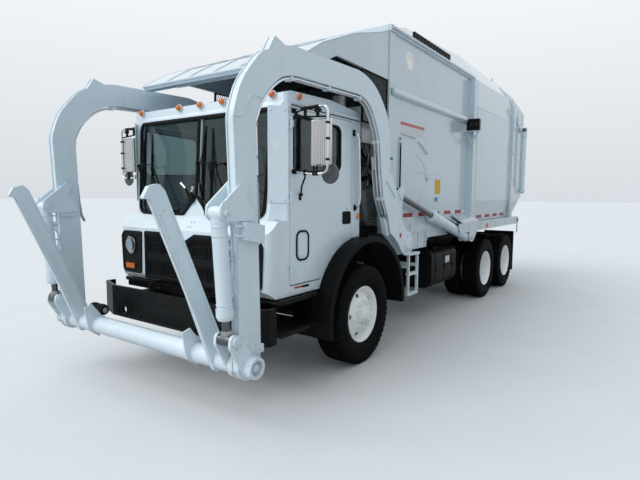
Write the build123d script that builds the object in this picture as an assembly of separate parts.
from build123d import *
import os
from math import atan2, cos, degrees, hypot, radians, sin

# Lengths are millimetres. The front faces -Y, +X is the truck's left, +Z is up.
# Every Y is counted from the front axle; keep() shifts the whole truck by origin_y.
origin_y = 2215

# Driving sizes of the chassis
front_tyre_r = 528
front_tyre_half = 156
front_track_x = 1054
rear_tyre_r = 515
rear_tyre_half = 140
dual_outer_x = front_track_x + 31
dual_spacing = 335
bogie_y = 4880
bogie_half = 648
rim_r = 298.5
rim_seat_r = 286
rail_x = 432
rail_top = 1020
rail_height = 270
rail_front_y = -1360
rail_rear_y = 6100
kingpin_x = front_track_x - 214

# Driving sizes of the cab
cab_half = 1060
cab_wall = 45
nose_y = -1380
nose_top = 1440
nose_corner_r = 85
screen_foot = (-1235, 1580)
screen_head = (-1165, 2560)
cab_rear_y = 90
cab_bottom = 890
cab_roof = 2690
door_front_y = -1100
door_rear_y = -75
door_bottom = 985
door_top = 2535
door_gap = 4
headlamp_x = cab_half - 203
headlamp_z = 1255
headlamp_r = 85
recess_r = 104
grille_half = 630
grille_low = 925
grille_top = 1410
grille_border = 52
hinge_x = cab_half + 12.5
hinge_y = door_front_y + 2
hinge_r = 12
hinge_pin_r = 6
hinge_heights = (1120, 1760, 2400)
arch_y = 60
arch_z = 560
arch_r = 775
arch_band = 40

# Driving sizes of the load body
hopper_half = 1115
body_half = 1215
wall = 60
body_front_y = 600
hopper_rear_y = 3480
body_rear_y = 5700
body_floor = 1340
side_top = 3680
crown_half = 880
rail_out = hopper_half + 28
shelf_out = body_half + 75
skirt_low = 1100
shelf_low = 1235
work_lamp_y = 3180
work_lamp_out = hopper_half + 230

# Driving sizes of the arms and forks
arm_in = hopper_half + 35
arm_out = arm_in + 120
arm_pivot = (859, 1228)
fork_pivot = (-1855, 518)
fork_x = 960
torque_r = 90
cross_r = 82
plate = 18
fork_pin_top = (-2077, 1658)
fork_pin_low = (-2011, 744)
lift_pin_arm = (640, 1810)
lift_pin_body = (3150, 1135)
cylinder_x = (arm_in + arm_out) / 2

# Driving sizes of the tailgate
gate_hinge = (5730, 4085)
gate_hinge_x = 700
gate_pin_low = (6400, 1880)
gate_pin_top = (6420, 3150)
gate_cylinder_x = body_half + 60

# Named clearances
running = 0.05
seat = 0.3
side_play = 2


# Plain shapes
def box(x, y, z):
    size = [high - low for low, high in (x, y, z)]
    return Pos(sum(x) / 2, sum(y) / 2, sum(z) / 2) * Box(*size)


def outline(corners):
    # Closed face from corners (a, b) or (a, b, corner radius)
    starts, ends, middles = [], [], []
    count = len(corners)
    for i, corner in enumerate(corners):
        point = Vector(corner[0], corner[1])
        if len(corner) < 3:
            starts.append(point)
            ends.append(point)
            middles.append(None)
            continue
        before = corners[i - 1]
        after = corners[(i + 1) % count]
        to_before = (Vector(before[0], before[1]) - point).normalized()
        to_after = (Vector(after[0], after[1]) - point).normalized()
        half = radians(to_before.get_angle(to_after)) / 2
        reach = corner[2] * cos(half) / sin(half)
        centre_way = (to_before + to_after).normalized()
        starts.append(point + to_before * reach)
        ends.append(point + to_after * reach)
        middles.append(point + centre_way * (corner[2] / sin(half) - corner[2]))
    edges = []
    for i in range(count):
        if middles[i] is not None:
            edges.append(ThreePointArc(starts[i], middles[i], ends[i]))
        following = starts[(i + 1) % count]
        if (following - ends[i]).length > 1e-6:
            edges.append(Line(ends[i], following))
    return make_face(edges)


def slab_x(corners, x):
    return extrude(Plane.YZ.offset(x[0]) * outline(corners), x[1] - x[0])


def slab_y(corners, y):
    return extrude(Plane.XZ.offset(-y[1]) * outline(corners), y[1] - y[0])


def slab_z(corners, z):
    return extrude(Plane.XY.offset(z[0]) * outline(corners), z[1] - z[0])


def round_x(r, x, y, z):
    return Pos(sum(x) / 2, y, z) * Rot(0, 90, 0) * Cylinder(r, x[1] - x[0])


def round_y(r, x, y, z):
    return Pos(x, sum(y) / 2, z) * Rot(90, 0, 0) * Cylinder(r, y[1] - y[0])


def round_z(r, x, y, z):
    return Pos(x, y, sum(z) / 2) * Cylinder(r, z[1] - z[0])


def bar(start, end, r):
    way = Vector(*end) - Vector(*start)
    low = (Align.CENTER, Align.CENTER, Align.MIN)
    return Plane(origin=start, z_dir=way) * Cylinder(r, way.length, align=low)


def bent_tube(points, r, bend):
    # Round tube along a route of straight runs joined by bends
    path = FilletPolyline(*points, radius=bend)
    return sweep(Plane(origin=path @ 0, z_dir=path % 0) * Circle(r), path=path)


def turned_x(profile, y, z):
    # Revolve a profile of (x, radius) corners about an axis along X
    face = Plane.XZ * outline(profile)
    return Pos(0, y, z) * revolve(face, Axis.X)


def join(*parts):
    return Part() + list(parts)


def mirrored(part):
    return mirror(part, about=Plane.YZ)


def both(part):
    return join(part, mirrored(part))


def between(start, end, along, across=0):
    # Point at a distance along and beside the line from start to end
    dy, dz = end[0] - start[0], end[1] - start[1]
    length = hypot(dy, dz)
    u, v = dy / length, dz / length
    return (start[0] + u * along - v * across, start[1] + v * along + u * across)


def on_line(profile, start, end):
    # Corners given as (along, across) from start towards end
    return [(*between(start, end, c[0], c[1]), *c[2:]) for c in profile]


# Wheels and tyres
def tyre(r, half, x, y):
    tread = half - 28
    profile = [
        (-tread, r), (tread, r), (half - 6, r - 24), (half, r - 105),
        (half - 8, r - 175), (113, rim_r + 2), (113, rim_seat_r + 0.4),
        (-113, rim_seat_r + 0.4), (-113, rim_r + 2), (8 - half, r - 175), (-half, r - 105), (6 - half, r - 24),
    ]
    return turned_x([(x + a, b) for a, b in profile], y, r)


def rim_barrel(x, y, r):
    profile = [
        (-124, rim_r), (-114, rim_r), (-114, rim_seat_r), (-60, 262), (60, 262),
        (114, rim_seat_r), (114, rim_r), (124, rim_r), (124, 276), (66, 248),
        (-66, 248), (-124, 276),
    ]
    return turned_x([(x + a, b) for a, b in profile], y, r)


def studs(count, pitch_r, r, x, y, z):
    parts = []
    for i in range(count):
        angle = 2 * 3.14159265 * (i + 0.5) / count
        stud_y = y + pitch_r * cos(angle)
        stud_z = z + pitch_r * sin(angle)
        parts.append(round_x(r, x, stud_y, stud_z))
    return parts


def front_wheel():
    x = front_track_x
    z = front_tyre_r
    disc = turned_x([
        (x + 60, 249.5), (x + 70, 249.5), (x + 105, 205), (x + 118, 170), (x + 118, 60),
        (x + 108, 60), (x + 108, 165), (x + 92, 200),
    ], 0, z)
    hub = turned_x([
        (x - 55, 118), (x + 112, 118), (x + 122, 95), (x + 175, 88),
        (x + 190, 70), (x + 205, 62), (x + 205, 0), (x + 190, 0),
        (x + 190, 40 + running), (x - 55, 40 + running),
    ], 0, z)
    return join(rim_barrel(x, 0, z), disc, hub, *studs(10, 143, 13, (x + 110, x + 138), 0, z))


def rear_wheel(y):
    z = rear_tyre_r
    outer = dual_outer_x
    inner = dual_outer_x - dual_spacing
    mid = (outer + inner) / 2
    disc = turned_x([
        (outer - 70, 249.5), (outer - 60, 249.5), (mid + 30, 205), (mid + 11, 175),
        (mid + 11, 60), (mid - 11, 60), (mid - 11, 175), (mid - 30, 205),
        (inner + 60, 249.5), (inner + 70, 249.5), (mid, 188),
    ], y, z)
    hub = turned_x([
        (mid - 130, 125), (mid + 11, 125), (mid + 20, 112), (mid + 175, 105),
        (mid + 190, 92), (mid + 190, 0), (mid + 170, 0),
        (mid + 170, 55 + running), (mid - 130, 55 + running),
    ], y, z)
    barrels = [rim_barrel(outer, y, z), rim_barrel(inner, y, z)]
    part = join(*barrels, disc, hub, *studs(10, 143, 14, (mid + 5, mid + 42), y, z))
    return part


def dual_tyres(y):
    inner = dual_outer_x - dual_spacing
    return join(*[tyre(rear_tyre_r, rear_tyre_half, x, y) for x in (dual_outer_x, inner)])


# Chassis
def frame_rail():
    low = rail_top - rail_height
    run = (rail_front_y, rail_rear_y)
    web = box((rail_x - 10, rail_x), run, (low, rail_top))
    flanges = [box((rail_x - 89, rail_x), run, (z, z + 12)) for z in (low, rail_top - 12)]
    return join(web, *flanges)


def arm_bearing():
    y, z = arm_pivot
    block = slab_x([
        (y - 190, rail_top), (y + 190, rail_top), (y + 135, z + 60, 30),
        (y + 60, z + 108, 20), (y - 60, z + 108, 20), (y - 135, z + 60, 30),
    ], (rail_x - 89, rail_x + 20))
    return block - round_x(torque_r + running, (rail_x - 100, rail_x + 30), y, z)


def chassis_frame():
    low = rail_top - rail_height
    parts = [both(frame_rail()), both(arm_bearing())]
    for y in (-1310, 1700, 2900, 3700, 4880, 6040):
        parts.append(box((10 - rail_x, rail_x - 10), (y - 40, y + 40), (low + 40, rail_top - 30)))
    # Body sills on the rails and bolsters under the floor
    sill = box((rail_x - 89, rail_x), (1060, 5690), (rail_top, body_floor))
    parts.append(both(sill))
    parts.append(both(box((rail_x, body_half + 5), (6040, 6080), (985, 1020))))
    for y in (1400, 2150, 2900, 3650, 4400, 5150, 5640):
        cross = hopper_half - 75
        parts.append(box((-cross, cross), (y - 35, y + 35), (body_floor - 110, body_floor)))
    return join(*parts)


def front_axle():
    z = front_tyre_r
    beam_z = z - 95
    end = kingpin_x
    beam = slab_y([
        (-end, z - 45), (-end, z + 45), (-end + 60, z + 45), (320 - end, beam_z + 50),
        (end - 320, beam_z + 50), (end - 60, z + 45), (end, z + 45), (end, z - 45),
        (end - 80, z - 45), (end - 360, beam_z - 50), (360 - end, beam_z - 50), (80 - end, z - 45),
    ], (-50, 50))
    beam += both(round_z(44, end, 0, (z - 45, z + 45)))
    for side in (-1, 1):
        beam -= round_z(22 + running, side * end, 0, (z - 60, z + 60))
    springs = []
    for i in range(4):
        reach = 720 - 130 * i
        low = beam_z + 130 - 20 * i
        springs.append(box((rail_x - 80, rail_x), (-reach, reach), (low, low + 20)))
    hanger = [
        box((rail_x - 80, rail_x), (y - 30, y + 30), (beam_z + 150, rail_top - rail_height))
        for y in (-690, 690)
    ]
    seat_block = box((rail_x - 80, rail_x), (-80, 80), (beam_z + 50, beam_z + 70))
    return join(beam, both(join(*springs, *hanger, seat_block)))


def knuckle():
    z = front_tyre_r
    x = kingpin_x
    ear = box((x - 50, x + 90), (-55, 55), (z + 45 + seat, z + 85))
    low_ear = box((x - 50, x + 90), (-55, 55), (z - 85, z - 45 - seat))
    back = box((x + 45 + seat, x + 90), (-55, 55), (z - 85, z + 85))
    pin = round_z(22, x, 0, (z - 100, z + 100))
    drum = round_x(190, (x + 90, x + 120), 0, z)
    spindle = round_x(40, (x + 110, front_track_x + 180), 0, z)
    arm = box((x - 30, x + 40), (50, 260), (z - 85, z - 55))
    return join(ear, low_ear, back, pin, drum, spindle, arm)


def drive_axle(y):
    z = rear_tyre_r
    mid = dual_outer_x - dual_spacing / 2
    shell = turned_x([
        (-mid + 150, 75), (-360, 80), (-250, 130), (-110, 215), (110, 215), (250, 130),
        (360, 80), (mid - 150, 75), (mid - 150, 190), (mid - 131, 190), (mid - 131, 55),
        (mid + 160, 55), (mid + 160, 0), (-mid - 160, 0), (-mid - 160, 55),
        (131 - mid, 55), (131 - mid, 190), (150 - mid, 190),
    ], y, z)
    nose = round_y(110, 0, (y - 330, y - 150), z)
    return join(shell, nose)


def rear_suspension():
    z = rear_tyre_r
    x = (rail_x - 70, rail_x + 20)
    front, back = bogie_y - bogie_half, bogie_y + bogie_half
    beam = slab_x([
        (front - 70, z - 170), (back + 70, z - 170), (back + 70, z - 76),
        (bogie_y + 150, z - 30), (bogie_y - 150, z - 30), (front - 70, z - 76),
    ], x)
    saddle = slab_x([
        (bogie_y - 110, z - 30), (bogie_y + 110, z - 30),
        (bogie_y + 220, rail_top - rail_height), (bogie_y - 220, rail_top - rail_height),
    ], x)
    return both(join(beam, saddle))


def drive_axles():
    axles = [drive_axle(bogie_y + side * bogie_half) for side in (-1, 1)]
    flange = round_y(70, 0, (1300, 1325), 755)
    shaft = bar((0, 1318, 750), (0, bogie_y - bogie_half - 325, rear_tyre_r), 50)
    link = bar((0, bogie_y - bogie_half + 150, rear_tyre_r), (0, bogie_y + bogie_half - 325,
               rear_tyre_r), 45)
    return join(*axles, rear_suspension(), flange, shaft, link)


def engine_block():
    block = box((-320, 320), (-850, 430), (700, 1390))
    gearbox = slab_x([
        (430, 620), (1050, 620), (1300, 680), (1300, 830), (1000, 1040), (430, 1040),
    ], (-210, 210))
    feet = both(box((320, rail_x - 10), (-360, -240), (800, 900)))
    return join(block, gearbox, feet)


def tanks():
    fuel = slab_y([
        (470, 460, 120), (1080, 460, 120), (1080, 1010, 120), (470, 1010, 120),
    ], (2080, 3080))
    cradle = [box((rail_x, 470), (y - 40, y + 40), (780, 980)) for y in (2250, 2900)]
    battery = box((-1040, -470), (1750, 2350), (520, 980))
    air = [round_y(120, -620, (2450, 3250), z) for z in (640, 880)]
    holders = [box((-470, -rail_x), (y - 30, y + 30), (800, 960)) for y in (1850, 2250)]
    straps = [box((-560, -rail_x), (y - 25, y + 25), (780, 980)) for y in (2600, 3100)]
    return join(fuel, *cradle, battery, *air, *holders, *straps)


def fender():
    span = (cab_half - 270, cab_half + 185)
    ring = round_x(arch_r, span, arch_y, arch_z)
    ring -= round_x(arch_r - arch_band, span, arch_y, arch_z)
    keep_zone = slab_x([
        (arch_y - 900, arch_z - 150), (arch_y + 900, arch_z - 20),
        (arch_y + 900, arch_z + 900), (arch_y - 900, arch_z + 900),
    ], (span[0] - 50, span[1] + 50))
    step_x = (cab_half - 40, span[1])
    lip_x = (span[1] - 22, span[1])
    for x, rise in ((step_x, 8), (lip_x, 16)):
        band = round_x(arch_r + rise, x, arch_y, arch_z)
        ring += band - round_x(arch_r - 5, x, arch_y, arch_z)
    ring = ring & keep_zone
    stays = []
    for angle in (35, 150):
        y = arch_y + (arch_r - arch_band / 2) * cos(radians(angle))
        z = arch_z + (arch_r - arch_band / 2) * sin(radians(angle))
        stays.append(bar((rail_x, y, z), (span[0] + 10, y, z), 18))
    return join(ring, *stays)


def front_fenders():
    return both(fender())


def bumper():
    band = slab_z([
        (-1160, -1400), (-1160, -1500, 30), (-865, -1610, 60), (865, -1610, 60), (1160, -1500, 30),
        (1160, -1400), (1130, -1400), (1130, -1478), (855, -1580), (-855, -1580), (-1130, -1478),
        (-1130, -1400),
    ], (545, 855))
    hole = round_y(38, 0, (-1650, -1550), 626)
    band = band - Pos(-660, 0, 0) * hole - Pos(660, 0, 0) * hole
    apron = box((-930, 930), (rail_front_y - 20, rail_front_y), (815, 895))
    brackets = [box((x - 40, x + 40), (-1580, rail_front_y), (760, 850)) for x in (-390, 390)]
    step = box((560, 1120), (-1290, -745), (560, 600))
    upper = box((560, 1110), (-1290, -745), (840, 880))
    side = box((rail_x, 560), (-1150, -860), (560, 850))
    well = box((560, 600), (-1290, -745), (600, 840))
    steps = join(step, upper, side, well)
    return join(band, apron, *brackets, both(steps))


def ladder_step():
    posts = [box((1150, 1180), (y, y + 30), (530, 1040)) for y in (1110, 1370)]
    rungs = [box((1120, 1180), (1140, 1370), (z, z + 30)) for z in (530, 785)]
    top = box((1110, 1190), (1095, 1415), (1040, 1070))
    stays = [box((rail_x, 1150), (y, y + 30), (880, 920)) for y in (1110, 1370)]
    return join(*posts, *rungs, top, *stays)


def mudflaps():
    return both(box((body_half - 595, body_half + 5), (6080, 6095), (260, 1060)))


# Cab
def cab_form(inset):
    foot_y, foot_z = screen_foot
    head_y, head_z = screen_head
    side = slab_x([
        (nose_y + inset, cab_bottom + 70 + inset), (nose_y + 90, cab_bottom + inset),
        (-640, cab_bottom + inset), (-560, cab_bottom + 85 + inset),
        (cab_rear_y - inset, 985 + inset), (cab_rear_y - inset, 2580 - inset),
        (20, 2645 - inset), (-480, cab_roof - inset), (-1090, 2675 - inset),
        (-1150 + inset, 2655 - inset), (-1150 + inset, 2585 - inset / 2),
        (head_y + inset, head_z - inset / 2), (foot_y + inset, foot_z),
        (nose_y + inset, nose_top - inset / 3),
    ], (inset - cab_half, cab_half - inset))
    corner_x = cab_half - nose_corner_r
    corner_y = nose_y + nose_corner_r
    for turn in (-1, 1):
        lower = box(sorted((turn * corner_x, turn * (cab_half + 20))), (nose_y - 20, corner_y),
                    (cab_bottom - 200, screen_foot[1] - 20))
        lower -= round_z(nose_corner_r - inset, turn * corner_x, corner_y,
                         (cab_bottom - 210, screen_foot[1]))
        upper = slab_z([
            (turn * (cab_half + 200), -1400), (turn * (cab_half + 200), -1130 + inset),
            (turn * (cab_half - inset), -1130 + inset),
            (turn * (cab_half - 130 - inset / 2), -1240), (turn * (cab_half - 210), -1400),
        ], (screen_foot[1] - 20, cab_roof + 100))
        side = side - lower - upper
    return side


def window_y(corners):
    return slab_y(corners, (-1500, -1000))


def windscreen_outline(gap):
    return [
        (28 + gap, 1765 - gap), (190, 1600 + gap, 30), (cab_half - 185 - gap, 1600 + gap, 70),
        (cab_half - 155 - gap, 2480, 60), (cab_half - 180 - gap, 2515 - gap, 20),
        (28 + gap, 2515 - gap),
    ]


def door_outline(gap):
    arch = arch_r + 22 + gap
    drop = door_bottom + gap
    reach = (arch ** 2 - (drop - arch_z) ** 2) ** 0.5
    rear = door_rear_y - gap
    rise = (arch ** 2 - (rear - arch_y) ** 2) ** 0.5
    mid = radians(146)
    lines = [
        Line((door_front_y + gap, drop), (door_front_y + gap, door_top - gap)),
        Line((door_front_y + gap, door_top - gap), (rear, door_top - gap)),
        Line((rear, door_top - gap), (rear, arch_z + rise)),
        ThreePointArc(
            (rear, arch_z + rise),
            (arch_y + arch * cos(mid), arch_z + arch * sin(mid)),
            (arch_y - reach, drop),
        ),
        Line((arch_y - reach, drop), (door_front_y + gap, drop)),
    ]
    return make_face(lines)


def door_window(gap):
    return [
        (-1050 + gap, 1985 + gap, 60), (-290 - gap, 2010 + gap, 90),
        (-290 - gap, 2455 - gap, 70), (-1050 + gap, 2485 - gap, 40),
    ]


def peep_window(gap):
    return [
        (-1005 + gap, 1200 + gap, 60), (-830 - gap, 1200 + gap, 60),
        (-830 - gap, 1460 - gap, 60), (-1005 + gap, 1460 - gap, 60),
    ]


def door_hinge_leaf(z):
    # Two lugs and the pin on the cab's front pillar
    parts = [round_z(hinge_pin_r, hinge_x, hinge_y, (z - 45, z + 45))]
    for low, high in ((z - 50, z - 30 - seat), (z + 30 + seat, z + 50)):
        parts.append(round_z(hinge_r, hinge_x, hinge_y, (low, high)))
        parts.append(box((cab_half, hinge_x), (hinge_y - 30, hinge_y - 4), (low, high)))
    return join(*parts)


def door_hinge_barrel(z):
    barrel_part = round_z(hinge_r, hinge_x, hinge_y, (z - 30, z + 30))
    leaf = box((cab_half, hinge_x), (door_front_y + door_gap, hinge_y + 40), (z - 30, z + 30))
    return join(barrel_part, leaf) - round_z(
        hinge_pin_r + running, hinge_x, hinge_y, (z - 40, z + 40))


def cab_shell():
    tunnel = box((-490, 490), (nose_y, cab_rear_y), (cab_bottom - 100, 1450))
    under = box((-445, 445), (nose_y + 60, cab_rear_y + 10), (cab_bottom - 100, 1410))
    rail_notch = box((-445, 445), (nose_y - 10, cab_rear_y + 10),
                     (cab_bottom - 100, rail_top + seat))
    shell = cab_form(0) - (cab_form(cab_wall) - tunnel) - under - rail_notch
    arch = round_x(arch_r + 8, (420, cab_half + 50), arch_y, arch_z)
    opening = extrude(Plane.YZ.offset(cab_half - 60) * door_outline(0), 120)
    glass = window_y(windscreen_outline(0))
    shell = shell - both(arch) - both(opening) - both(glass)
    rear_window = slab_y([
        (-420, 1950, 60), (420, 1950, 60), (420, 2350, 60), (-420, 2350, 60),
    ], (cab_rear_y - 80, cab_rear_y + 20))
    floor_skin = slab_x([
        (-745, 1290), (-560, 1400), (cab_rear_y - cab_wall, 1400),
        (cab_rear_y - cab_wall, 1360), (-500, 1360), (-700, 1250),
    ], (450, cab_half - cab_wall))
    arch_skin = round_x(arch_r + 38, (450, cab_half - cab_wall), arch_y, arch_z)
    arch_skin -= round_x(arch_r + 8, (440, cab_half), arch_y, arch_z)
    arch_skin = arch_skin & box((440, cab_half), (-700, cab_rear_y - 10), (cab_bottom + 40, 1450))
    pads = box((rail_x - 80, 450), (cab_rear_y - cab_wall, cab_rear_y), (rail_top + seat, 1415))
    leaves = [door_hinge_leaf(z) for z in hinge_heights]
    return join(shell - rear_window, both(join(arch_skin, floor_skin, pads, *leaves)))


def screen_slab():
    foot_y, foot_z = screen_foot
    head_y, head_z = screen_head
    return slab_x([
        (foot_y + 20, foot_z), (foot_y + 27, foot_z), (head_y + 27, head_z), (head_y + 20, head_z),
    ], (-cab_half, cab_half))


def cab_glass():
    panes = both(window_y(windscreen_outline(0))) & screen_slab()
    rear = slab_y([
        (-420, 1950, 60), (420, 1950, 60), (420, 2350, 60), (-420, 2350, 60),
    ], (cab_rear_y - 25, cab_rear_y - 19))
    return join(panes, rear)


def wall_y(z):
    # Just clear of the inside of the windscreen wall at a height
    foot_y, foot_z = screen_foot
    head_y, head_z = screen_head
    lean = (head_y - foot_y) / (head_z - cab_wall / 2 - foot_z)
    return foot_y + cab_wall + (z - foot_z) * lean + seat


def cab_interior():
    seats = []
    seat_x = cab_half - 320
    for x in (-seat_x, seat_x):
        pan = slab_x([
            (-520, 1470), (-60, 1440), (-60, 1560, 20), (-520, 1600, 40),
        ], (x - 225, x + 225))
        back = slab_x([
            (-110, 1560), (10, 1540), (45 - 10, 2180, 20), (-60, 2200, 30),
        ], (x - 220, x + 220))
        seats.append(join(pan, back))
    dash = slab_x([
        (-1160, 1500), (-1020, 1460), (-990, 1560, 30), (-1100, 1690, 30),
        (wall_y(1690), 1690), (wall_y(1600), 1600),
    ], (190 - cab_half, cab_half - 190))
    wheel_x = seat_x - 40
    column = bar((wheel_x, -1050, 1600), (wheel_x, -860, 1840), 30)
    axis = (0, 190, 240)
    centre = (wheel_x, -860, 1840)
    wheel = Plane(origin=centre, z_dir=axis) * Torus(215, 14)
    spokes = Plane(origin=centre, z_dir=axis) * Box(430, 40, 12)
    stand = [box((x - 150, x + 150), (-420, -100), (1400, 1462)) for x in (-seat_x, seat_x)]
    return join(*seats, dash, column, wheel, spokes, *stand)


def headlamp_bezel():
    # Moulded surround with a deep round recess and a slot for the turn lamp
    x = headlamp_x
    edge = [
        (x - 157, 962, 20), (x + 128, 962, 55), (x + 147, 1350, 60), (x + 103, 1398, 30),
        (x - 157, 1398, 20),
    ]
    plate_part = slab_y(edge, (nose_y - 18, nose_y))
    collar = round_y(recess_r + 12, x, (nose_y - 24, nose_y - 18), headlamp_z)
    recess = round_y(recess_r, x, (nose_y - 40, nose_y - 6), headlamp_z)
    turn_lamp = box((x - 47, x + 93), (nose_y - 40, nose_y - 6), (1010, 1062))
    return join(plate_part, collar) - recess - turn_lamp


def grille_line(gap):
    half = grille_half - gap
    low, high = grille_low + gap, grille_top - gap
    notch = 145 + 0.2 * gap
    return [
        (-half, low, 20), (half, low, 20), (half, high, 20), (notch, high), (0, 1335 - 1.2 * gap),
        (-notch, high), (-half, high, 20),
    ]


def grille_panel(x, low, high):
    frame = slab_y([
        (x - 96, low, 12), (x + 96, low, 12), (x + 96, high, 12), (x - 96, high, 12),
    ], (nose_y - 16, nose_y - 5))
    return frame - slab_y([
        (x - 84, low + 12), (x + 84, low + 12), (x + 84, high - 12), (x - 84, high - 12),
    ], (nose_y - 20, nose_y))


def front_trim():
    # Grille surround with the notched top, back plate, two rows of framed panels and a band
    frame = slab_y(grille_line(0), (nose_y - 22, nose_y))
    frame -= slab_y(grille_line(grille_border), (nose_y - 30, nose_y + 10))
    back = slab_y(grille_line(grille_border - 2), (nose_y - 5, nose_y))
    panels = []
    for column in range(-2, 3):
        x = 222 * column
        panels.append(grille_panel(x, 985, 1100))
        panels.append(grille_panel(x, 1200, 1270 if column == 0 else 1300))
    band = box((-grille_half + 50, grille_half - 50), (nose_y - 14, nose_y - 5), (1112, 1186))
    return join(frame, back, band, *panels, both(headlamp_bezel()))


def lamps():
    # Headlamps, turn lamps, roof lamps, work lamps and lamp bars on the hopper's sides
    x = headlamp_x
    lens = Cylinder(headlamp_r, 20, align=(Align.CENTER, Align.CENTER, Align.MIN))
    head = Pos(x, nose_y - 6, headlamp_z) * Rot(90, 0, 0) * lens
    amber = box((x - 44, x + 90), (nose_y - 24, nose_y - 6), (1013, 1059))
    parts = [both(head), both(amber)]
    for roof_x in (142 - cab_half, -307, 0, 307, cab_half - 142):
        parts.append(round_y(26, roof_x, (-1182, -1150), 2645))
    parts.append(both(round_x(24, (cab_half, cab_half + 26), -978, 2640)))
    work = box((hopper_half + 35, work_lamp_out), (work_lamp_y, work_lamp_y + 60), (2790, 2965))
    light_bar = box((hopper_half + 1, rail_out - 3), (1200, 2430), (side_top, side_top + 85))
    return join(*parts, both(work), both(light_bar))


def exhaust_stack():
    pipe = round_z(75, 700, 230, (1700, 2760))
    muffler = round_z(125, 700, 230, (1480, 2450))
    foot = box((rail_x - 80, 760), (170, 290), (rail_top, rail_top + 60))
    riser = box((640, 760), (170, 290), (rail_top, 1480))
    return join(pipe, muffler, foot, riser)


def door():
    x = (cab_half - 40, cab_half)
    panel = extrude(Plane.YZ.offset(x[0]) * door_outline(door_gap), x[1] - x[0])
    panel -= slab_x(door_window(0), (x[0] - 10, x[1] + 10))
    panel -= slab_x(peep_window(0), (x[0] - 10, x[1] + 10))
    recess_y = (door_rear_y - 170, door_rear_y - 20)
    panel -= box((x[1] - 22, x[1] + 10), recess_y, (1495, 1615))
    handle = box((x[1] - 14, x[1] - 2), recess_y, (1560, 1590))
    return join(panel, handle, *[door_hinge_barrel(z) for z in hinge_heights])


def door_glass():
    x = (cab_half - 26, cab_half - 20)
    window = slab_x(door_window(0), x)
    peep = slab_x(peep_window(0), x)
    return join(window, peep)


def mirror_set():
    x = cab_half
    loop = bent_tube([
        (x, -1000, 2510), (1400, -1000, 2510), (1400, -1000, 1990), (x, -1000, 1990),
    ], 11, 60)
    plate_part = box((1250, 1450), (-1060, -1025), (2035, 2425))
    clamps = [box((1385, 1415), (-1025, -995), (z, z + 40)) for z in (2080, 2340)]
    convex = round_y(75, 1440, (-1050, -1025), 1925)
    stem = box((1385, 1415), (-1025, -995), (1900, 2000))
    return join(loop, plate_part, *clamps, convex, stem)


# Load body
def section(y, half, low, shoulder, crown, top):
    points = [
        (-half, low), (half, low), (half, shoulder), (crown, top - 60), (crown * 0.5, top),
        (-crown * 0.5, top), (-crown, top - 60), (-half, shoulder),
    ]
    return Plane.XZ.offset(-y) * make_face(Polyline(*points, close=True))


def crown_stations():
    # y, half width, top
    return [
        (body_front_y + 160, hopper_half, 3780), (1500, hopper_half, 3990),
        (hopper_rear_y, hopper_half, 4090), (body_rear_y, hopper_half, 4040),
    ]


def crown_roof(inset):
    faces = []
    for y, half, top in crown_stations():
        faces.append(section(y, half - inset, side_top - 200, side_top, crown_half - inset,
                             top - inset))
    return loft(faces, ruled=True)


def roof_hinge():
    # Two ears and the pin that carry the tailgate
    y, z = gate_hinge
    shape = [
        (y - 150, z - 125), (y - 31, z - 125), (y - 31, z - 40), (y + 35, z - 38, 20),
        (y + 35, z + 35, 25), (y - 40, z + 35, 25),
    ]
    inner = slab_x(shape, (gate_hinge_x - 20, gate_hinge_x - side_play))
    outer_x = gate_hinge_x + 56 + side_play
    outer = slab_x(shape, (outer_x, outer_x + 18))
    return join(inner, outer, round_x(20, (gate_hinge_x - 26, outer_x + 24), y, z))


def body_shell():
    front = box((-hopper_half, hopper_half), (body_front_y, hopper_rear_y), (body_floor, side_top))
    rear = slab_y([
        (-body_half + 40, body_floor), (body_half - 40, body_floor), (body_half, 1700),
        (body_half, 3200), (body_half - 60, side_top - 40), (hopper_half, side_top),
        (-hopper_half, side_top), (60 - body_half, side_top - 40), (-body_half, 3200),
        (-body_half, 1700),
    ], (hopper_rear_y, body_rear_y))
    outer = join(front, rear, crown_roof(0))
    low = body_floor + wall
    hollow_front = box((wall - hopper_half, hopper_half - wall),
                       (body_front_y + wall, hopper_rear_y + 1), (low, side_top - 40))
    hollow_rear = box((wall + 30 - body_half, body_half - wall - 30),
                      (hopper_rear_y, body_rear_y + 10), (low, side_top - 260))
    hollow_top = box((wall - hopper_half, hopper_half - wall),
                     (hopper_rear_y, body_rear_y + 10), (low, side_top - 40))
    mouth = box((-820, 820), (body_front_y + 160, 2900), (side_top - 100, 4300))
    crown_hollow = crown_roof(wall) & box((-2000, 2000), (body_front_y + 220, body_rear_y + 50),
                                          (side_top - 60, 4300))
    shell = outer - hollow_front - hollow_rear - hollow_top - crown_hollow - mouth
    return join(shell, both(roof_hinge()))


def lamp_bracket():
    # Ledge with a hanging triangle that carries the side work lamp
    y = (work_lamp_y, work_lamp_y + 60)
    ledge = box((hopper_half, work_lamp_out), y, (2772, 2790))
    arm_plate = box((hopper_half, hopper_half + 35), y, (2790, 2900))
    strut_y = (work_lamp_y + 20, work_lamp_y + 45)
    tip = (hopper_half + work_lamp_out) / 2 - 30
    near = slab_y([
        (hopper_half + 15, 2780), (hopper_half + 35, 2780), (tip + 8, 2600), (tip - 10, 2600),
    ], strut_y)
    far = slab_y([
        (work_lamp_out - 20, 2780), (work_lamp_out, 2780), (tip + 8, 2600), (tip - 10, 2600),
    ], strut_y)
    return join(ledge, arm_plate, near, far)


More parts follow.
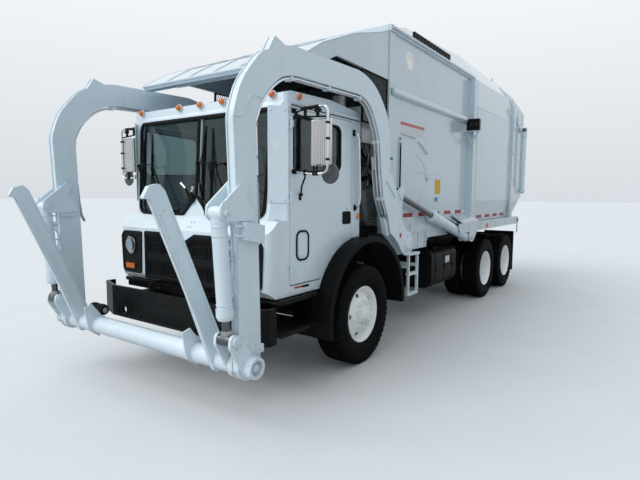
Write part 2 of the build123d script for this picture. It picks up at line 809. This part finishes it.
def body_rails():
    # Rub rails, posts, skirt, shelf and cylinder brackets on the sides
    mid = box((hopper_half, rail_out), (640, 3240), (2925, 2995))
    top = box((hopper_half, rail_out), (body_front_y, hopper_rear_y), (3610, 3680))
    low = box((hopper_half, hopper_half + 8), (1250, 2750), (1300, 1420))
    front_post = box((hopper_half, hopper_half + 12), (body_front_y, 735), (1340, 3610))
    post = box((hopper_half, body_half), (hopper_rear_y - 160, hopper_rear_y), (1340, 3600))
    skirt = slab_x([
        (965, body_floor), (965, skirt_low + 50), (1015, skirt_low), (1750, skirt_low),
        (1750, shelf_low - 20), (2550, shelf_low), (2550, body_floor),
    ], (hopper_half - 12, hopper_half))
    cover = slab_y([
        (hopper_half, 1505), (shelf_out + 10, 1385), (shelf_out + 10, 1365), (hopper_half, 1485),
    ], (2720, hopper_rear_y))
    edge = slab_x([
        (2550, 1370), (2550, shelf_low + 60, 30), (2610, shelf_low), (5975, shelf_low),
        (5975, 1046), (6060, 1046), (6060, 1370),
    ], (shelf_out, shelf_out + 10))
    shelf = box((body_half - 40, shelf_out), (3400, 6060), (1290, 1370))
    shelf -= box((body_half - 50, body_half), (hopper_rear_y, 6100), (body_floor, 1380))
    shelf -= box((body_half - 50, body_half - 10), (body_rear_y, 6100), (1280, 1380))
    y, z = lift_pin_body
    ear = slab_x([
        (y - 130, 1340), (y + 130, 1340), (y + 130, z), (y + 60, z - 60, 40),
        (y - 60, z - 60, 40), (y - 130, z),
    ], (hopper_half, hopper_half + plate))
    outer_ear = slab_x([
        (y - 130, 1290), (y + 300, 1290), (y + 130, z), (y + 60, z - 60, 40),
        (y - 60, z - 60, 40), (y - 130, z),
    ], (cylinder_x + 75, cylinder_x + 75 + plate))
    bridge = box((hopper_half, cylinder_x + 75 + plate), (y - 130, y + 320), (1290, 1340))
    pin = round_x(30, (hopper_half, cylinder_x + 75 + plate + 12), y, z)
    part = join(mid, top, low, front_post, post, skirt, cover, edge, shelf, ear, outer_ear,
                bridge, pin, lamp_bracket())
    return both(part)


def canopy():
    top = [(-1000, 2985), (-690, 3168), (-144, 3387), (400, 3545), (600, 3620)]
    under = [(600, 3560), (400, 3487), (-144, 3329), (-690, 3110), (-985, 2935)]
    sheet = slab_x(top + under, (-hopper_half, hopper_half))
    panel = slab_x([
        (-985, 2935), (-690, 3112), (-144, 3331), (400, 3489), (600, 3562), (600, 3077),
        (-455, 3100), (-578, 3040), (-900, 2935),
    ], (hopper_half - 30, hopper_half))
    lip = box((30 - hopper_half, hopper_half - 30), (-580, -540), (3040, 3110))
    return join(sheet, both(panel), lip)


def packer():
    half = hopper_half - wall - 15
    low = body_floor + wall
    face = slab_x([
        (720, low + 20), (1500, low + 20), (1500, low + 500), (1150, 2650), (1080, 2650),
        (1080, low + 60), (720, low + 60),
    ], (-half, half))
    shoes = [box((x - 60, x + 60), (720, 1500), (low + seat, low + 20)) for x in (-800, 800)]
    return join(face, *shoes)


def gate_form(inset):
    stations = [
        (body_rear_y + seat + inset, body_half - 25, 1290, 3670, 4040),
        (6680, body_half - 30, 1790, 3500, 3900),
        (6900 - inset, body_half - 80, 2350, 3330, 3780),
    ]
    faces = []
    for y, half, low, shoulder, top in stations:
        faces.append(section(y, half - inset, low + inset, shoulder - inset / 2,
                             crown_half - inset, top - inset))
    return loft(faces, ruled=True)


def tailgate():
    shell = gate_form(0)
    cavity = gate_form(wall)
    mouth = slab_y([
        (wall - 1130, 1400), (1130 - wall, 1400), (1130 - wall, 3600), (830, 3900),
        (-830, 3900), (wall - 1130, 3600),
    ], (body_rear_y - 50, body_rear_y + 100))
    shell = shell - cavity - mouth
    y, z = gate_hinge
    lug = slab_x([
        (y - 18, z - 130), (y + 100, z - 130), (y + 100, z - 60), (y + 30, z + 32, 25),
        (y - 30, z + 32, 25), (y - 30, z - 30),
    ], (gate_hinge_x, gate_hinge_x + 56))
    lug -= round_x(20 + running, (gate_hinge_x - 10, gate_hinge_x + 70), y, z)
    ty, tz = gate_pin_top
    bracket = slab_x([
        (ty - 330, tz + 100), (ty - 300, tz + 220), (ty + 60, tz + 60, 30),
        (ty + 60, tz - 60, 30), (ty - 60, tz - 60, 30),
    ], (body_half - 40, body_half - 2))
    return join(shell, both(join(bracket, lug)))


# Arms and forks
def arm_outline():
    return [
        (-1945, 745), (-1945, 1430), (-1984, 2297), (-1949, 2453), (-1897, 2573),
        (-1793, 2712), (-1672, 2832), (-1610, 2860), (-1538, 2975), (-1420, 2935),
        (-1290, 2955), (-340, 2975), (-194, 2958), (-39, 2911), (92, 2836), (180, 2757),
        (286, 2634), (361, 2453), (390, 2200), (470, 1950), (560, 1830), (700, 1900),
        (760, 1840), (700, 1700), (700, 1518), (830, 1367), (1010, 1228), (960, 1100),
        (859, 1080), (740, 1120), (592, 1260), (419, 1371), (363, 1541), (248, 1753),
        (192, 1980), (161, 2191), (121, 2387), (50, 2523), (-78, 2678), (-187, 2730),
        (-320, 2750), (-1100, 2735), (-1324, 2723), (-1451, 2687), (-1583, 2595),
        (-1687, 2474), (-1756, 2330), (-1715, 640), (-1740, 470), (-1800, 410),
        (-1900, 420), (-1960, 500),
    ]


def arm():
    y, z = arm_pivot
    part = slab_x(arm_outline(), (arm_in, arm_out))
    slot = slab_x([
        (150, 1150), (1200, 1150), (1200, 1990), (430, 1990), (100, 2250), (100, 1700),
    ], (arm_in + 20, arm_out - 20))
    hub = round_x(140, (arm_in, arm_out), y, z)
    part = part - slot + hub
    part -= round_x(cross_r + running, (arm_in - 10, arm_out + 10), *fork_pivot)
    caps = [
        round_x(48, (arm_in - 12, arm_in), *lift_pin_arm),
        round_x(48, (arm_out, arm_out + 12), *lift_pin_arm),
    ]
    ty, tz = fork_pin_top
    bracket_shape = [
        (ty - 55, tz - 20, 30), (ty - 45, tz + 55, 30), (-1890, 1900, 20), (-1830, 1885, 10),
        (-1880, 1760, 30), (-1790, 1680), (-1790, 1600), (ty + 60, tz - 60),
        (ty, tz - 62, 20),
    ]
    brackets = [
        slab_x(bracket_shape, (arm_in - plate, arm_in)),
        slab_x(bracket_shape, (arm_out, arm_out + plate)),
    ]
    pin = round_x(24, (arm_in - plate - 14, arm_out + plate + 14), ty, tz)
    return join(part, *caps, *brackets, pin)


def lift_arms():
    tube = round_x(torque_r, (-arm_in, arm_in), *arm_pivot)
    return join(both(arm()), tube)


def fork():
    blade = slab_x(on_line([
        (-75, -78, 30), (1380, -66), (1440, -40, 25), (1452, 40), (1395, 118, 10), (1372, 68),
        (700, 62), (-75, 90, 40),
    ], fork_pivot, (-2420, 1840)), (fork_x - 20, fork_x + 20))
    inner = arm_in - plate - side_play - 20
    low_y, low_z = fork_pin_low
    crank = [
        (-75, -70, 40), (275, -62, 50), (345, 0, 40), (275, 62, 40), (-75, 85, 50),
    ]
    crank_shape = on_line(crank, fork_pivot, fork_pin_low)
    plates = [
        slab_x(crank_shape, (arm_in - 2 - 25, arm_in - 2)),
        slab_x(crank_shape, (arm_out + 2, arm_out + 2 + 25)),
    ]
    hub = round_x(cross_r, (arm_in - 40, 1360), *fork_pivot)
    hub -= round_x(cross_r - 25, (1310, 1370), *fork_pivot)
    pins = [
        round_x(34, (arm_in - 42, arm_in - 27), low_y, low_z),
        round_x(34, (arm_out + 27, arm_out + 40), low_y, low_z),
    ]
    vee = slab_x(on_line([
        (-110, -20), (-60, 100), (150, 190), (190, 120), (60, -40),
    ], fork_pivot, (-1760, 900)), (fork_x - 260, fork_x - 245))
    return join(blade, *plates, hub, *pins, vee)


def forks():
    tube = round_x(cross_r, (-arm_in, arm_in), *fork_pivot)
    return join(both(fork()), tube)


def fork_bumpers():
    # Two-lobed rubber rollers between the vee plates and the blades
    y, z = between(fork_pivot, (-1760, 900), 120, 0)
    start, end = fork_x - 245, fork_x - 20
    middle = (start + end) / 2
    profile = [
        (start, 0), (start, 46), (start + 10, 56), (middle - 16, 56), (middle - 4, 44),
        (middle + 4, 44), (middle + 16, 56), (end - 10, 56), (end, 46), (end, 0),
    ]
    return both(turned_x(profile, y + 40, z + 10))


# Cylinders
def cylinder_barrel(base, top, x, r, length, eye_r, eye_half, pin_r):
    start = between(base, top, eye_r * 0.6)
    end = between(base, top, length)
    tube = bar((x, *start), (x, *end), r)
    gland_start = between(base, top, length - 60)
    gland = bar((x, *gland_start), (x, *end), r + 8)
    eye = round_x(eye_r, (x - eye_half, x + eye_half), *base)
    eye_cut = round_x(pin_r + running, (x - eye_half - 60, x + eye_half + 60), *base)
    bore_start = between(base, top, 130)
    return tube, gland, eye, eye_cut, bore_start, end


def barrel(base, top, x, r, rod_r, length, eye_half, pin_r):
    eye_r = pin_r + 26
    parts = cylinder_barrel(base, top, x, r, length, eye_r, eye_half, pin_r)
    tube, gland, eye, eye_cut, bore_start, end = parts
    bore = bar((x, *bore_start), (x, *between(base, top, length + 10)), rod_r + running)
    return join(tube, gland, eye) - eye_cut - bore


def rod(base, top, x, rod_r, inside, eye_half, eye_r):
    start = between(base, top, inside)
    stem = bar((x, *start), (x, *top), rod_r)
    eye = round_x(eye_r, (x - eye_half, x + eye_half), *top)
    return join(stem, eye)


def fork_barrel():
    half = (arm_out - arm_in) / 2 - side_play
    return barrel(fork_pin_top, fork_pin_low, cylinder_x, 57, 28, 740, half, 24)


def fork_rod():
    half = (arm_out - arm_in) / 2 - side_play
    return rod(fork_pin_top, fork_pin_low, cylinder_x, 28, 200, half, 46)


def lift_barrel():
    return barrel(lift_pin_body, lift_pin_arm, cylinder_x, 72, 38, 1480, 66, 30)


def lift_rod():
    return rod(lift_pin_body, lift_pin_arm, cylinder_x, 38, 1050, 38, 60)


def gate_barrel():
    return barrel(gate_pin_low, gate_pin_top, gate_cylinder_x, 45, 22, 1195, 34, 20)


def gate_rod():
    return rod(gate_pin_low, gate_pin_top, gate_cylinder_x, 22, 140, 34, 42)


def gate_brackets():
    # Plates from the body's rear corner post to the tailgate cylinders
    y, z = gate_pin_low
    x = gate_cylinder_x
    shape = [
        (5600, z - 260), (5760, z - 300), (y + 50, z - 50, 30), (y + 50, z + 45, 30),
        (y - 60, z + 45), (5760, z + 120), (5600, z + 120),
    ]
    inner = slab_x(shape, (body_half, body_half + 10))
    pin = round_x(20, (body_half + 2, x + 50), y, z)
    rear_post = slab_x([
        (5560, 1370), (body_rear_y, 1370), (body_rear_y, 3500), (5620, 3500), (5560, 2500),
    ], (body_half, body_half + 45))
    return both(join(inner, pin, rear_post))


def keep(name, part):
    placed = Pos(0, -origin_y, 0) * part
    placed.label = name
    export_step(placed, "parts/" + name + ".step")


os.makedirs("parts", exist_ok=True)

keep("chassis_frame", chassis_frame())
keep("front_axle", front_axle())
keep("drive_axles", drive_axles())
keep("engine_block", engine_block())
keep("tanks", tanks())
keep("front_fenders", front_fenders())
keep("bumper_and_steps", bumper())
keep("ladder_step", ladder_step())
keep("mudflaps", mudflaps())
keep("cab_shell", cab_shell())
keep("cab_glass", cab_glass())
keep("cab_interior", cab_interior())
keep("front_trim", front_trim())
keep("lamps", lamps())
keep("exhaust_stack", exhaust_stack())
keep("body_shell", body_shell())
keep("body_rails", join(body_rails(), gate_brackets()))
keep("canopy", canopy())
keep("packer_panel", packer())
keep("tailgate", tailgate())
keep("lift_arms", lift_arms())
keep("forks", forks())
keep("fork_bumpers", fork_bumpers())

# Parts with a left and a right one
pairs = [
    ("knuckle", knuckle()),
    ("front_rim", front_wheel()),
    ("front_tyre", tyre(front_tyre_r, front_tyre_half, front_track_x, 0)),
    ("door", door()),
    ("door_glass", door_glass()),
    ("mirror", mirror_set()),
    ("fork_barrel", fork_barrel()),
    ("fork_rod", fork_rod()),
    ("lift_barrel", lift_barrel()),
    ("lift_rod", lift_rod()),
    ("gate_barrel", gate_barrel()),
    ("gate_rod", gate_rod()),
]
for axle, side in (("drive", -1), ("rear", 1)):
    y = bogie_y + side * bogie_half
    pairs.append((axle + "_rim", rear_wheel(y)))
    pairs.append((axle + "_tyres", dual_tyres(y)))
for name, part in pairs:
    keep(name + "_left", part)
    keep(name + "_right", mirrored(part))
